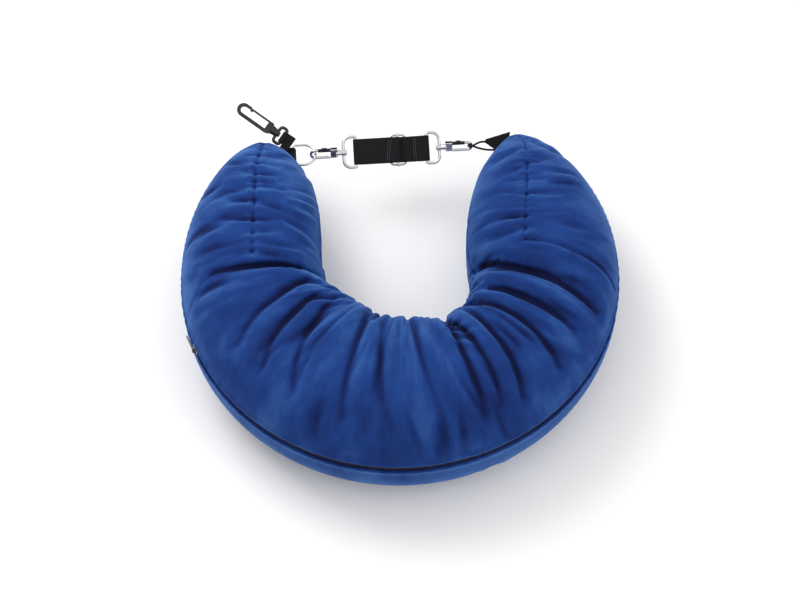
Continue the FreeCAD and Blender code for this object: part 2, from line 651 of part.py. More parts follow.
def make_clip(end_tab):
    place = clip_place()
    save("clip_base", placed(clip_base(), place))
    save("clip_hook", placed(clip_hook(), place))
    save("clip_gate", placed(clip_gate(), place))
    # The tab is folded round the clip's bar, then folded again at its corner to run to the arm's tip.
    upper, under = fold_tab(CLIP_WEB, CLIP_BAR, 6.0)
    half = CLIP_WEB / 2
    outline = [V(-5.0, -half, 0), V(-10.0, -half, 0), V(-10.5, 1.0, 0), V(-9.5, 24.0, 0), V(-1.0, 24.0, 0),
               V(-2.2, 10.6, 0), V(-5.0, half, 0)]
    plate = Part.Face(Part.makePolygon(outline + outline[:1])).extrude(V(0, 0, 2 * WEB_T + 0.1))
    plate.translate(V(0, 0, -WEB_T - 0.05))
    tab = placed(fused(upper, under, plate), place)
    tab = tab.cut(left_arm_solid(0)).cut(end_tab)
    pieces = sorted(tab.Solids, key=lambda solid: solid.Volume)
    save("clip_tab", pieces[-1])


# ================================================================ right end: tab and cord loop
CORD_R = 1.1


def make_right_end():
    """A pinched webbing tab holds one end of an elastic cord that loops through the right hook."""
    flat = strap_place()
    right_arm = mirrored(left_arm_solid(0))
    nose_x = PIVOT_X
    # Points in the hook's frame: over the nose, through its eye and back underneath.
    points = [
        V(nose_x + 17.4, 3.2, -0.6),
        V(nose_x + 13.5, 4.6, 1.0),
        V(nose_x + 9.0, 4.2, 2.8),
        V(nose_x + 4.8, 2.0, 3.5),
        V(nose_x + 2.1, 0.6, 2.2),
        V(nose_x + 1.1, 0, 0),
        V(nose_x + 2.1, -0.6, -2.2),
        V(nose_x + 4.8, -2.8, -3.7),
        V(nose_x + 11.0, -6.4, -4.2),
        V(nose_x + 20.0, -8.8, -3.6),
        V(nose_x + 38.0, -9.2, -2.0),
    ]
    curve = Part.BSplineCurve()
    curve.interpolate(points)
    cord = placed(round_wire([curve.toShape()], CORD_R), strap_place(HOOK_TURN))
    # The tab widens from the pinched apex to the seam.
    outline = [V(92.4, 5.6, -1.2), V(113.0, 13.4, -1.2), V(117.0, 5.0, -1.2), V(101.0, -6.0, -1.2),
               V(92.4, 2.0, -1.2)]
    tab = Part.Face(Part.makePolygon(outline + outline[:1])).extrude(V(0, 0, 2.4))
    save("right_end_tab", placed(tab, flat).cut(right_arm))
    cord = cord.cut(right_arm)
    pieces = sorted(cord.Solids, key=lambda solid: solid.Volume)
    save("cord_loop", pieces[-1])


def main():
    os.makedirs(OUT, exist_ok=True)
    make_pillow()
    make_zip()
    make_strap()
    make_hooks()
    make_clip(make_left_end())
    make_right_end()


main()
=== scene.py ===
import math

import bpy
import numpy as np
from mathutils import Matrix, Vector


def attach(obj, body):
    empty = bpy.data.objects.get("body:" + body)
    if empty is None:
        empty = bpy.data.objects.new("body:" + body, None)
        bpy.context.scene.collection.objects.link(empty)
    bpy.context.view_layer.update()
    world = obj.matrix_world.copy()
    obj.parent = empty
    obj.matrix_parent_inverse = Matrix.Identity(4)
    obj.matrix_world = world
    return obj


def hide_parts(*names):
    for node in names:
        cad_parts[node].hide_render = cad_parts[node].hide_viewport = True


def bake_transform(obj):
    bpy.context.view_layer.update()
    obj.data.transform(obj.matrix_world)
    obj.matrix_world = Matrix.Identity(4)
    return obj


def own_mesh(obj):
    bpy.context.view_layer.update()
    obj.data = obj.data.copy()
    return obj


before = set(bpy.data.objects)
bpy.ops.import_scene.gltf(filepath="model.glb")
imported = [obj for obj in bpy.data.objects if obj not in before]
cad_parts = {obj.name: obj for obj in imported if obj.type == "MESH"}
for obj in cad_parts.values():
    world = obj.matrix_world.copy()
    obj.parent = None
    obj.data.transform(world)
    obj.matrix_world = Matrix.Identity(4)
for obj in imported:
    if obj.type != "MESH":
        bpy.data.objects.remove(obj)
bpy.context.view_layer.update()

MM = 0.001
rng = np.random.default_rng(7)

# ------------------------------------------------------------------ pillow dimensions, in millimetres
OUTER_R, HALF_W, SWELL, HALF_H, MID_Z = 207.5, 70.0, 8.0, 63.0, 60.0
ARM_LEN, ARM_LEAN, POWER, SEAM_Z = 153.0, 19.0, 2.3, 74.0
ARM_R = (ARM_LEN ** 2 + ARM_LEAN ** 2) / (2 * ARM_LEAN)
DEG_MM = 2.34                     # one degree of the U's length, on its centre line
N_ARM, N_BACK, N_RING = 44, 96, 104
INNER_SEAM = 46                   # ring index of the seam on the inner side
LEFT_TIP, RIGHT_TIP = 1.0, 0.25   # how blunt each tip is stuffed
NECK_SWELL, NECK_LEFT, NECK_RIGHT = 8.0, 11.0, 12.0     # changes to the inner edge, in millimetres
CROWN = 90.0                      # ring angle of the tube's top, in degrees
RING_STEP = 4.05                  # about one ring step round the tube
ZIP_FROM, ZIP_TO = 197.2, 343.6   # the zip's open groove along the U, in degrees


# ------------------------------------------------------------------ materials
def new_material(name):
    mat = bpy.data.materials.new(name)
    mat.use_nodes = True
    nodes, links = mat.node_tree.nodes, mat.node_tree.links
    nodes.clear()
    out = nodes.new("ShaderNodeOutputMaterial")
    bsdf = nodes.new("ShaderNodeBsdfPrincipled")
    links.new(bsdf.outputs[0], out.inputs[0])
    return mat, nodes, links, bsdf


def noise_node(nodes, links, scale, detail=4.0, rough=0.55):
    coord = nodes.new("ShaderNodeTexCoord")
    node = nodes.new("ShaderNodeTexNoise")
    node.inputs["Scale"].default_value = scale
    node.inputs["Detail"].default_value = detail
    node.inputs["Roughness"].default_value = rough
    links.new(coord.outputs["Object"], node.inputs["Vector"])
    return node


def ramp_node(nodes, stops):
    ramp = nodes.new("ShaderNodeValToRGB")
    while len(ramp.color_ramp.elements) < len(stops):
        ramp.color_ramp.elements.new(0.5)
    for element, (at, colour) in zip(ramp.color_ramp.elements, stops):
        element.position = at
        element.color = (*colour, 1)
    return ramp


def bump_node(nodes, links, height, strength, distance, after=None):
    bump = nodes.new("ShaderNodeBump")
    bump.inputs["Strength"].default_value = strength
    bump.inputs["Distance"].default_value = distance
    links.new(height, bump.inputs["Height"])
    if after is not None:
        links.new(after, bump.inputs["Normal"])
    return bump.outputs[0]


def calc(nodes, links, operation, a, b):
    node = nodes.new("ShaderNodeMath")
    node.operation = operation
    for slot, value in zip(node.inputs, (a, b)):
        if isinstance(value, (int, float)):
            slot.default_value = value
        else:
            links.new(value, slot)
    return node.outputs[0]


def contrast(nodes, links, value, low, high):
    node = nodes.new("ShaderNodeMapRange")
    node.interpolation_type = "SMOOTHSTEP"
    node.inputs["From Min"].default_value = low
    node.inputs["From Max"].default_value = high
    links.new(value, node.inputs["Value"])
    return node.outputs[0]


def attribute(nodes, name):
    node = nodes.new("ShaderNodeAttribute")
    node.attribute_name = name
    return node


def velour():
    """Royal blue plush, darker where the nap lies away, with painted shade darkening the creases and a painted
    sheen making it paler at the rim.
    """
    mat, nodes, links, bsdf = new_material("velour")
    facing = nodes.new("ShaderNodeLayerWeight")
    facing.inputs["Blend"].default_value = 0.42
    stretch = nodes.new("ShaderNodeVectorMath")
    stretch.operation = "MULTIPLY"
    links.new(attribute(nodes, "cloth").outputs["Vector"], stretch.inputs[0])
    stretch.inputs[1].default_value = (0.042, 0.013, 1.0)
    streak = noise_node(nodes, links, 1.0, 4.0, 0.62)
    links.new(stretch.outputs[0], streak.inputs["Vector"])
    patch = noise_node(nodes, links, 13.0, 3.0, 0.6)
    fine = noise_node(nodes, links, 700.0, 3.0, 0.7)
    fibre = noise_node(nodes, links, 2600.0, 2.0, 0.5)
    value = calc(nodes, links, "MULTIPLY", contrast(nodes, links, streak.outputs["Fac"], 0.36, 0.66), 0.20)
    lit = calc(nodes, links, "MULTIPLY", contrast(nodes, links, patch.outputs["Fac"], 0.35, 0.66), 0.17)
    value = calc(nodes, links, "ADD", value, lit)
    # Painted sheen: the colour is lifted where the surface turns away from view, so the rim is paler.
    value = calc(nodes, links, "ADD", value, calc(nodes, links, "MULTIPLY", facing.outputs["Facing"], 0.52))
    value = calc(nodes, links, "ADD", value, calc(nodes, links, "MULTIPLY", fine.outputs["Fac"], 0.14))
    # Painted shade: the crease attribute darkens the colour in folds and seams.
    dark = calc(nodes, links, "MULTIPLY", attribute(nodes, "crease").outputs["Fac"], 0.60)
    value = calc(nodes, links, "SUBTRACT", value, dark)
    ramp = ramp_node(nodes, [(0.02, (0.0025, 0.005, 0.036)), (0.26, (0.0050, 0.017, 0.100)),
                             (0.56, (0.0105, 0.043, 0.200)), (0.92, (0.040, 0.118, 0.350))])
    links.new(value, ramp.inputs[0])
    links.new(ramp.outputs[0], bsdf.inputs["Base Color"])
    bsdf.inputs["Roughness"].default_value = 0.85
    bsdf.inputs["Specular IOR Level"].default_value = 0.10
    bsdf.inputs["Sheen Weight"].default_value = 0.30
    bsdf.inputs["Sheen Roughness"].default_value = 0.35
    bsdf.inputs["Sheen Tint"].default_value = (0.25, 0.48, 1.0, 1)
    first = bump_node(nodes, links, fine.outputs["Fac"], 0.35, 0.0006)
    links.new(bump_node(nodes, links, fibre.outputs["Fac"], 0.3, 0.0003, first), bsdf.inputs["Normal"])
    return mat


def plain(name, colour, rough, metal=0.0, grain=400.0, depth=0.00004, spec=0.5, sheen=0.0, vary=0.25):
    """A finish with a little variation in colour and roughness."""
    mat, nodes, links, bsdf = new_material(name)
    tex = noise_node(nodes, links, grain, 4.0, 0.6)
    dark = tuple(c * (1 - vary) for c in colour)
    light = tuple(min(c * (1 + vary), 1) for c in colour)
    ramp = ramp_node(nodes, [(0.3, dark), (0.7, light)])
    links.new(tex.outputs["Fac"], ramp.inputs[0])
    links.new(ramp.outputs[0], bsdf.inputs["Base Color"])
    roughness = nodes.new("ShaderNodeMapRange")
    roughness.inputs["To Min"].default_value = max(rough - 0.06, 0.02)
    roughness.inputs["To Max"].default_value = rough + 0.08
    links.new(tex.outputs["Fac"], roughness.inputs["Value"])
    links.new(roughness.outputs[0], bsdf.inputs["Roughness"])
    bsdf.inputs["Metallic"].default_value = metal
    bsdf.inputs["Specular IOR Level"].default_value = spec
    bsdf.inputs["Sheen Weight"].default_value = sheen
    links.new(bump_node(nodes, links, tex.outputs["Fac"], 0.3, depth), bsdf.inputs["Normal"])
    return mat


VELOUR = velour()
WEBBING = plain("webbing", (0.006, 0.006, 0.008), 0.70, grain=1500.0, depth=0.0001, spec=0.15, sheen=0.04,
                vary=0.4)
THREAD = plain("thread", (0.03, 0.03, 0.034), 0.6, grain=2500.0, sheen=0.2)
CHROME = plain("chrome", (0.62, 0.63, 0.65), 0.14, 1.0, grain=120.0, depth=0.00001, vary=0.05)
STEEL = plain("steel", (0.55, 0.55, 0.57), 0.3, 1.0, grain=500.0, vary=0.1)
BLACK_METAL = plain("black_metal", (0.012, 0.012, 0.014), 0.25, 0.0, grain=300.0, spec=0.6)
PLASTIC = plain("black_plastic", (0.014, 0.014, 0.017), 0.34, 0.0, grain=700.0, depth=0.00003)
COIL = plain("zip_coil", (0.010, 0.014, 0.05), 0.45, 0.0, grain=900.0)
TAPE = plain("zip_tape", (0.010, 0.022, 0.10), 0.75, 0.0, grain=1800.0, depth=0.0001, sheen=0.3)
CORD = plain("cord", (0.006, 0.006, 0.008), 0.65, 0.0, grain=2200.0, depth=0.0001, spec=0.2, sheen=0.05)


# ------------------------------------------------------------------ mesh helpers
def add_mesh(name, verts, faces, material, smooth=True):
    """verts are in millimetres."""
    mesh = bpy.data.meshes.new(name)
    mesh.from_pydata([tuple(v) for v in np.asarray(verts, float) * MM], [], [tuple(f) for f in faces])
    mesh.materials.append(material)
    mesh.polygons.foreach_set("use_smooth", [smooth] * len(mesh.polygons))
    mesh.update()
    obj = bpy.data.objects.new(name, mesh)
    bpy.context.scene.collection.objects.link(obj)
    return obj


def grid_faces(rows, cols, close_rows=False, close_cols=False):
    faces = []
    for i in range(rows if close_rows else rows - 1):
        for j in range(cols if close_cols else cols - 1):
            a, b = i, (i + 1) % rows
            c, d = j, (j + 1) % cols
            faces.append((a * cols + c, a * cols + d, b * cols + d, b * cols + c))
    return faces


def resample(points, step):
    """Evenly spaced points along a polyline."""
    pts = np.asarray(points, float)
    seg = np.linalg.norm(np.diff(pts, axis=0), axis=1)
    at = np.concatenate([[0], np.cumsum(seg)])
    count = max(int(round(at[-1] / step)), 2)
    want = np.linspace(0, at[-1], count + 1)
    return np.stack([np.interp(want, at, pts[:, k]) for k in range(pts.shape[1])], axis=1)


def tube_mesh(name, path, radius, sides, material, bulge=None):
    """A round bar along a path. bulge(i, k) adds to the radius at point i and side k."""
    path = np.asarray(path, float)
    tangent = np.gradient(path, axis=0)
    tangent /= np.linalg.norm(tangent, axis=1)[:, None]
    normal = np.cross(tangent[0], [0, 0, 1.0])
    if np.linalg.norm(normal) < 0.1:
        normal = np.cross(tangent[0], [1.0, 0, 0])
    verts = []
    for i, (p, t) in enumerate(zip(path, tangent)):
        normal = normal - t * normal.dot(t)
        normal /= np.linalg.norm(normal)
        side = np.cross(t, normal)
        for k in range(sides):
            a = 2 * math.pi * k / sides
            r = radius + (bulge(i, k) if bulge else 0)
            verts.append(p + (normal * math.cos(a) + side * math.sin(a)) * r)
    faces = grid_faces(len(path), sides, close_cols=True)
    faces.append(tuple(range(sides)))
    faces.append(tuple(range(len(verts) - 1, len(verts) - 1 - sides, -1)))
    return add_mesh(name, verts, faces, material)


# ------------------------------------------------------------------ the pillow's base surface
SEAM_T = math.asin(((SEAM_Z - MID_Z) / HALF_H) ** (POWER / 2))


def power(v, size):
    return np.sign(v) * np.abs(v) ** (2 / POWER) * size


def arm_frame(y, full=0.0):
    """Centre, outward direction and half sizes of an arm at length y along it. full makes a blunter tip."""
    share = np.clip(y / ARM_LEN, 0, 1)
    a = math.asin(ARM_LEN / ARM_R) * share
    reach = ARM_R * math.sin(a) + full * 7.5 * max((share - 0.3) / 0.7, 0) ** 2
    centre = (-(OUTER_R - HALF_W) + ARM_R * (1 - math.cos(a)), reach)
    taper = max(1 - share * share, 0)
    half = HALF_W * taper ** (0.75 - 0.18 * full)
    tall = HALF_H * taper ** (0.6 - 0.1 * full)
    return centre, (-math.cos(a), math.sin(a)), half, tall


def ring_frame(lon):
    """The same for any place along the U. lon is in degrees: 180 to 360 is the back, the arms lie beyond."""
    if lon < 180:
        return arm_frame((180 - lon) * DEG_MM, LEFT_TIP)
    if lon > 360:
        (x, y), (ox, oy), half, tall = arm_frame((lon - 360) * DEG_MM, RIGHT_TIP)
        return (-x, y), (-ox, oy), half, tall
    a = math.radians(lon)
    half = HALF_W + SWELL * math.sin(a) ** 2
    out = (math.cos(a), math.sin(a))
    return (out[0] * (OUTER_R - half), out[1] * (OUTER_R - half)), out, half, HALF_H


def bump(lon, at, spread):
    return math.exp(-((lon - at) / spread) ** 2)


def neck(lon):
    """Millimetres added to the inner side: drawn in by the arms' feet, swollen at the left of the back."""
    return NECK_SWELL * bump(lon, 220, 20) - NECK_LEFT * bump(lon, 168, 24) - NECK_RIGHT * bump(lon, 318, 34)


def surface(lon, t):
    """Points on the base surface at lon degrees and ring angle t (array, radians)."""
    centre, out, half, tall = ring_frame(lon)
    u, w = power(np.cos(t), half), power(np.sin(t), tall)
    u = np.where(u < 0, u * (1 + neck(lon) / HALF_W), u)
    return np.stack([centre[0] + out[0] * u, centre[1] + out[1] * u, MID_Z + w], axis=-1)


def lon_stations():
    tip = ARM_LEN / DEG_MM
    theta = np.linspace(0, math.pi / 2, N_ARM + 1)[1:]
    arm = tip * np.cos(theta)                       # from the tip inwards
    left = 180 - arm
    back = np.linspace(180, 360, N_BACK + 1)[1:-1]
    right = 360 + arm[::-1]
    return np.concatenate([left, back, right])


LONS = lon_stations()
RING_T = SEAM_T + 2 * math.pi * np.arange(N_RING) / N_RING
base = np.array([surface(lon, RING_T) for lon in LONS])
n_lon = len(LONS)
pole_left = np.array([*arm_frame(ARM_LEN, LEFT_TIP)[0], MID_Z])
pole_right = np.array([*arm_frame(ARM_LEN, RIGHT_TIP)[0], MID_Z]) * [-1, 1, 1]


# ------------------------------------------------------------------ gathers: the plush is relaxed as cloth
def surface_normals(grid):
    """Outward normals of a closed-ring grid."""
    along = np.gradient(grid, axis=0)
    ring = np.roll(grid, -1, axis=1) - np.roll(grid, 1, axis=1)
    n = np.cross(ring, along)
    n /= np.linalg.norm(n, axis=2)[..., None] + 1e-9
    centre = grid.mean(axis=1)[:, None, :]
    sign = np.sign(((grid - centre) * n).sum(axis=2).mean())
    return n * sign


def excess():
    """How much longer the panels were cut than the stuffed shape needs, along the U."""
    t = RING_T[None, :]
    inner = np.clip(-np.cos(t), 0, 1) ** 1.3
    top = np.clip(np.sin(t), 0, 1)
    lon = LONS[:, None]
    in_back = 1 / (1 + np.exp(-(lon - 176) / 5.0)) / (1 + np.exp((lon - 364) / 5.0))
    patch = 0.5 + 0.5 * np.sin(np.radians(lon) * 5.3 + 1.1) * np.sin(np.radians(lon) * 2.9 + 0.4)
    bend = 0.13 + 0.12 * patch
    arms = 0.004 * np.ones_like(t)
    return in_back * (inner * bend + 0.014 * top) + (1 - in_back) * arms + 0.002


fold_rng = np.random.default_rng(11)


def fan(count, first, step, lean, reach, depth, growth, width):
    """Folds side by side across the tube. first and step are places on the crown along the U, lean is how far
    a fold drifts along the U for each degree round the tube, reach is the ring angles it spans, and growth
    deepens each fold after the first. All but depth, growth and width, in millimetres, are in degrees."""
    folds = []
    share = np.linspace(0, 1, 8)
    for k in range(count):
        shift = fold_rng.uniform(-0.22, 0.22) * step
        drift = lean + fold_rng.uniform(-0.05, 0.05)
        bow = fold_rng.uniform(-0.0012, 0.0012)
        trim = fold_rng.uniform(0, 0.22, 2) * (reach[1] - reach[0])
        t = reach[0] + trim[0] + (reach[1] - reach[0] - trim.sum()) * share
        at = first + step * k + shift + drift * (t - CROWN) + bow * (t - CROWN) ** 2
        fade = np.sin(math.pi * (0.08 + 0.72 * share))
        deep = (depth + growth * k) * fold_rng.uniform(0.75, 1.2) * fade
        folds.append((np.stack([at, t, deep], axis=1), width * fold_rng.uniform(0.85, 1.15)))
    return folds


FOLDS = (fan(1, 184, 0, 0.0, (58, 162), 8.5, 0.0, 6.5)         # the left arm's foot
         + fan(3, 205, 11, -0.25, (50, 150), 4.5, 0.3, 6.5)    # left of the back
         + fan(3, 244, 17, -0.05, (48, 152), 3.6, 0.2, 8.0)    # middle of the back
         + fan(5, 292, 9.5, 0.08, (44, 158), 5.2, 0.6, 6.5)    # right of the back
         + fan(1, 344, 0, 0.16, (40, 160), 11.0, 0.0, 8.0)     # the right arm's foot
         + fan(5, 132, 8, 0.04, (60, 116), 2.4, 0.1, 4.5)      # across the left arm
         + fan(3, 373, 9, 0.10, (64, 124), 2.2, 0.0, 4.5))     # across the right arm


def polyline(points):
    """Samples places on the surface along a fold, with the depth at each."""
    pts = resample(np.array(points, float), 2.0)
    spots = np.array([surface(lon, np.array([math.radians(t)]))[0] for lon, t, _ in pts])
    return spots, pts[:, 2]


def fold_depth(points, folds):
    """Inward push at each point: a rounded valley with a low bank on each side."""
    shape = points.shape[:-1]
    flat_points = points.reshape(-1, 3)
    push = np.zeros(len(flat_points))
    for line, width in folds:
        spots, depth = polyline(line)
        near = np.full(len(flat_points), 1e9)
        which = np.zeros(len(flat_points), int)
        for k, spot in enumerate(spots):
            gap = ((flat_points - spot) ** 2).sum(axis=1)
            better = gap < near
            near[better] = gap[better]
            which[better] = k
        x = np.sqrt(near) / width
        valley = np.exp(-x ** 2) - 0.38 * np.exp(-((x - 2.0) / 0.85) ** 2)
        push += depth[which] * valley
    return push.reshape(shape)


def relax(rounds=200):
    """Verlet steps with length constraints on the grid: buckles the spare length into soft pleats."""
    x = base.copy()
    lon = np.radians(LONS)[:, None]
    wave = np.zeros(x.shape[:2])
    for _ in range(16):
        k = rng.uniform(9, 46)
        size = rng.uniform(0.2, 0.7)
        phase = rng.uniform(0, 6.3)
        wave += size * np.sin(lon * k + phase + RING_T[None, :] * rng.uniform(-1.4, 1.4))
    normal = surface_normals(base)
    push = fold_depth(base, FOLDS)
    goal = base - normal * push[..., None]
    degrees = np.degrees(lon)
    wave *= 0.15 + 0.85 / (1 + np.exp(-(degrees - 178) / 4)) / (1 + np.exp((degrees - 362) / 4))
    x += normal * wave[..., None] * 0.35 - normal * push[..., None]
    lon_rest = np.linalg.norm(base[1:] - base[:-1], axis=2) * (1 + excess()[1:])
    ring_rest = np.linalg.norm(np.roll(base, -1, axis=1) - base, axis=2) * 1.01
    diag_a = np.sqrt(lon_rest ** 2 + ring_rest[1:] ** 2)
    bend_rest = lon_rest[1:] + lon_rest[:-1]
    ring_bend = ring_rest + np.roll(ring_rest, -1, axis=1)
    speed = np.zeros_like(x)
    out_limit, in_limit = 6.0, 12.0
    hold = 0.004 + 0.05 * np.clip(np.cos(RING_T), 0, 1)[None, :] ** 2
    hold = hold + 0.03 * np.clip(-np.sin(RING_T) - 0.75, 0, 1)[None, :]
    edge_hold = np.exp(-np.abs(np.minimum(np.arange(n_lon), np.arange(n_lon)[::-1])) / 3.0)[:, None]
    hold = hold + 0.03 * np.clip(np.abs(push) / 4.0, 0, 1)
    hold = np.clip(hold + edge_hold, 0, 1)[..., None]

    def pull(p, q, rest, stiff, only_short=False):
        d = q - p
        size = np.linalg.norm(d, axis=2) + 1e-9
        err = (size - rest) / size
        if only_short:
            err = np.minimum(err, 0)
        return d * (0.5 * stiff * err)[..., None]

    for step in range(rounds):
        old = x.copy()
        n = surface_normals(x)
        x = x + speed * 0.9 + n * 0.035
        for _ in range(5):
            fix = np.zeros_like(x)
            c = pull(x[:-1], x[1:], lon_rest, 0.7)
            fix[:-1] += c
            fix[1:] -= c
            nxt = np.roll(x, -1, axis=1)
            c = pull(x, nxt, ring_rest, 0.7)
            fix += c - np.roll(c, 1, axis=1)
            c = pull(x[:-1], nxt[1:], diag_a, 0.22)
            fix[:-1] += c
            fix[1:] -= np.roll(c, 1, axis=1)
            c = pull(nxt[:-1], x[1:], diag_a, 0.22)
            fix[:-1] += np.roll(c, 1, axis=1)
            fix[1:] -= c
            c = pull(x[:-2], x[2:], bend_rest, 0.16, True)
            fix[:-2] += c
            fix[2:] -= c
            far = np.roll(x, -2, axis=1)
            c = pull(x, far, ring_bend, 0.10, True)
            fix += c - np.roll(c, 2, axis=1)
            x = x + fix * 0.55
        x = x + (goal - x) * hold
        off = ((x - base) * normal).sum(axis=2)
        fixed = np.clip(off, -in_limit, out_limit)
        x = x + normal * (fixed - off)[..., None]
        side = (x - base) - normal * fixed[..., None]
        size = np.linalg.norm(side, axis=2) + 1e-9
        x = x - side * (1 - np.minimum(1, 7.0 / size))[..., None]
        speed = x - old
    return x


# ------------------------------------------------------------------ the cover at full detail
def catmull(grid, places, periodic):
    """Smooth interpolation of a grid's rows at fractional places."""
    low = np.floor(places).astype(int)
    f = (places - low)[:, None, None]
    size = len(grid)

    def row(k):
        return grid[k % size] if periodic else grid[np.clip(k, 0, size - 1)]

    a, b, c, d = row(low - 1), row(low), row(low + 1), row(low + 2)
    return b + 0.5 * f * (c - a + f * (2 * a - 5 * b + 4 * c - d + f * (3 * (b - c) + d - a)))


def fine_rows():
    """Places along the ring, in ring steps: close together at the seam and over the arm's middle."""
    places, at = [], 0.0
    while at < N_RING - 0.12:
        places.append(at)
        gap = min(at, N_RING - at) * RING_STEP
        middle = abs(at - (math.radians(93) - SEAM_T) / (2 * math.pi) * N_RING) * RING_STEP
        want = 0.8 if gap < 7 else 1.25 if middle < 17 else 2.1
        at += want / RING_STEP
        if places[-1] < INNER_SEAM < at + 0.1:
            at = float(INNER_SEAM)
    return np.array(places)


# Seam lines as (place along the U, ring angle, depth in millimetres).
DARTS = [
    [(178.5, 90, 1.2), (150, 90, 1.2), (122, 86, 1.1), (116.5, 82, 0.8)],
    [(360.5, 103, 1.2), (385, 97, 1.2), (414, 86, 1.1), (423, 84, 0.8)],
]
BASE_SEAMS = [
    [(178.5, 90, 0.5), (187, 46, 0.4), (191, 24, 0.3)],
    [(360.0, 103, 1.6), (355, 74, 1.7), (352, 44, 1.5), (349, 22, 1.0)],
]


def line_field(points, line):
    """Distance in millimetres from a line on the surface, the place along it and its depth there."""
    spots, depth = polyline(line)
    arc = np.concatenate([[0], np.cumsum(np.linalg.norm(np.diff(spots, axis=0), axis=1))])
    dense = np.stack([np.interp(np.arange(0, arc[-1], 1.0), arc, spots[:, k]) for k in range(3)], axis=1)
    depths = np.interp(np.arange(0, arc[-1], 1.0), arc, depth)
    flat_points = points.reshape(-1, 3)
    near = np.full(len(flat_points), 1e9)
    which = np.zeros(len(flat_points), int)
    for k, spot in enumerate(dense):
        gap = ((flat_points - spot) ** 2).sum(axis=1)
        better = gap < near
        near[better] = gap[better]
        which[better] = k
    shape = points.shape[:-1]
    return np.sqrt(near).reshape(shape), which.reshape(shape).astype(float), depths[which].reshape(shape)


def rumples(lon, t):
    """Shallow creases across the tube at lon and ring angle t, both in degrees, each with a soft bank."""
    pick = np.random.default_rng(23)
    push = np.zeros(np.broadcast(lon, t).shape)
    for k in range(170):
        at = pick.uniform(122, 418)
        on_arm = at < 176 or at > 364
        middle = pick.uniform(35, 160) if k % 5 else pick.uniform(200, 330)
        reach = pick.uniform(16, 40)
        lean = pick.uniform(-0.12, 0.12)
        bow = pick.uniform(-0.0016, 0.0016)
        width = pick.uniform(2.4, 5.6)
        depth = pick.uniform(0.5, 1.7) * (1.15 if on_arm else 0.8)
        x = (lon - at - lean * (t - middle) - bow * (t - middle) ** 2) * DEG_MM / width
        share = np.clip(1 - ((t - middle) / reach) ** 2, 0, 1) ** 1.5
        push += depth * share * (np.exp(-x ** 2) - 0.5 * np.exp(-((x - 1.9) / 1.0) ** 2))
    return push


def build_cover():
    relaxed = relax()
    lon_places = np.linspace(0, n_lon - 1, (n_lon - 1) * 3 + 1)
    ring_places = fine_rows()

    def finer(grid):
        half = catmull(grid, lon_places, False)
        return catmull(half.transpose(1, 0, 2), ring_places, True).transpose(1, 0, 2)

    fine = finer(relaxed)
    smooth_base = finer(base)
    normal = surface_normals(fine)
    lon = np.interp(lon_places, np.arange(n_lon), LONS)[:, None]
    ring = ring_places[None, :]
    push = rumples(lon, np.degrees(SEAM_T) + 360 * ring / N_RING)
    # A sharp crease at the bottom of each fold.
    for line, _ in FOLDS:
        gap, _, depth = line_field(smooth_base, line)
        push += 0.26 * depth * np.exp(-(gap / 2.4) ** 2) - 0.10 * depth * np.exp(-((gap - 5.5) / 2.8) ** 2)
    # Dart seams and the curved seams at their feet, with short puckers across them.
    for k, line in enumerate(DARTS + BASE_SEAMS):
        gap, along, depth = line_field(smooth_base, line)
        is_dart = k < len(DARTS)
        push += depth * np.exp(-(gap / 1.7) ** 2)
        swell = 0.55 if is_dart else 0.4
        push -= depth * swell * np.exp(-((gap - 4.4) / 3.0) ** 2)
        if is_dart:
            beat = np.sin(along * 0.62 + 1.4 * np.sin(along * 0.13 + k)) + 0.6 * np.sin(along * 1.07 + 2 * k)
            reach = 8.0 + 3.0 * np.sin(along * 0.21 + k)
            push += 0.42 * beat * np.exp(-((gap - 2.5) / reach) ** 2) * np.clip(depth, 0, 1)
    # The seam round the outer edge. It opens into the zip's groove across the back.
    seam_gap = np.minimum(ring, N_RING - ring) * RING_STEP
    signed = np.where(ring < N_RING / 2, ring, ring - N_RING) * RING_STEP
    has_zip = 1 / (1 + np.exp(-(lon - ZIP_FROM) / 0.35)) / (1 + np.exp((lon - ZIP_TO) / 0.35))
    groove = np.exp(-(seam_gap / 2.9) ** 4) * 4.2 - 1.0 * np.exp(-((seam_gap - 5.4) / 2.1) ** 2)
    flap = 0.5 * np.exp(-((signed - 4.2) / 1.6) ** 2)
    plain_seam = 2.0 * np.exp(-(seam_gap / 1.5) ** 2) - 0.7 * np.exp(-((seam_gap - 4.0) / 2.2) ** 2)
    near_tip = np.clip((np.minimum(lon - 116, 424 - lon)) / 10, 0.15, 1)
    pucker = 0.25 * np.sin(lon * 2.1 + 0.8 * np.sin(lon * 0.7)) * np.exp(-((seam_gap - 3) / 6.0) ** 2)
    push += has_zip * (groove - flap) + (1 - has_zip) * plain_seam * near_tip + pucker
    inner_gap = np.abs(ring - INNER_SEAM) * RING_STEP
    push += near_tip * (1.5 * np.exp(-(inner_gap / 1.8) ** 2) - 0.5 * np.exp(-((inner_gap - 4.5) / 2.6) ** 2))
    settled = ((fine - smooth_base) * normal).sum(axis=2)
    fine = fine - normal * push[..., None]
    # Painted shade: how deep each point sits in a fold or seam, stored to darken the velour's colour there.
    crease = np.clip(push / 2.6 - (settled + 1.0) / 7.0, -0.35, 1.0)
    # The underside rests flat on the ground, softly.
    z = fine[..., 2]
    fine[..., 2] = np.where(z < 6, 0.4 + 5.6 * np.exp((z - 6) / 5.6), z)
    cloth = np.stack(np.broadcast_arrays(lon * DEG_MM, ring * RING_STEP, 0 * lon * ring), axis=2)
    return fine, crease, cloth


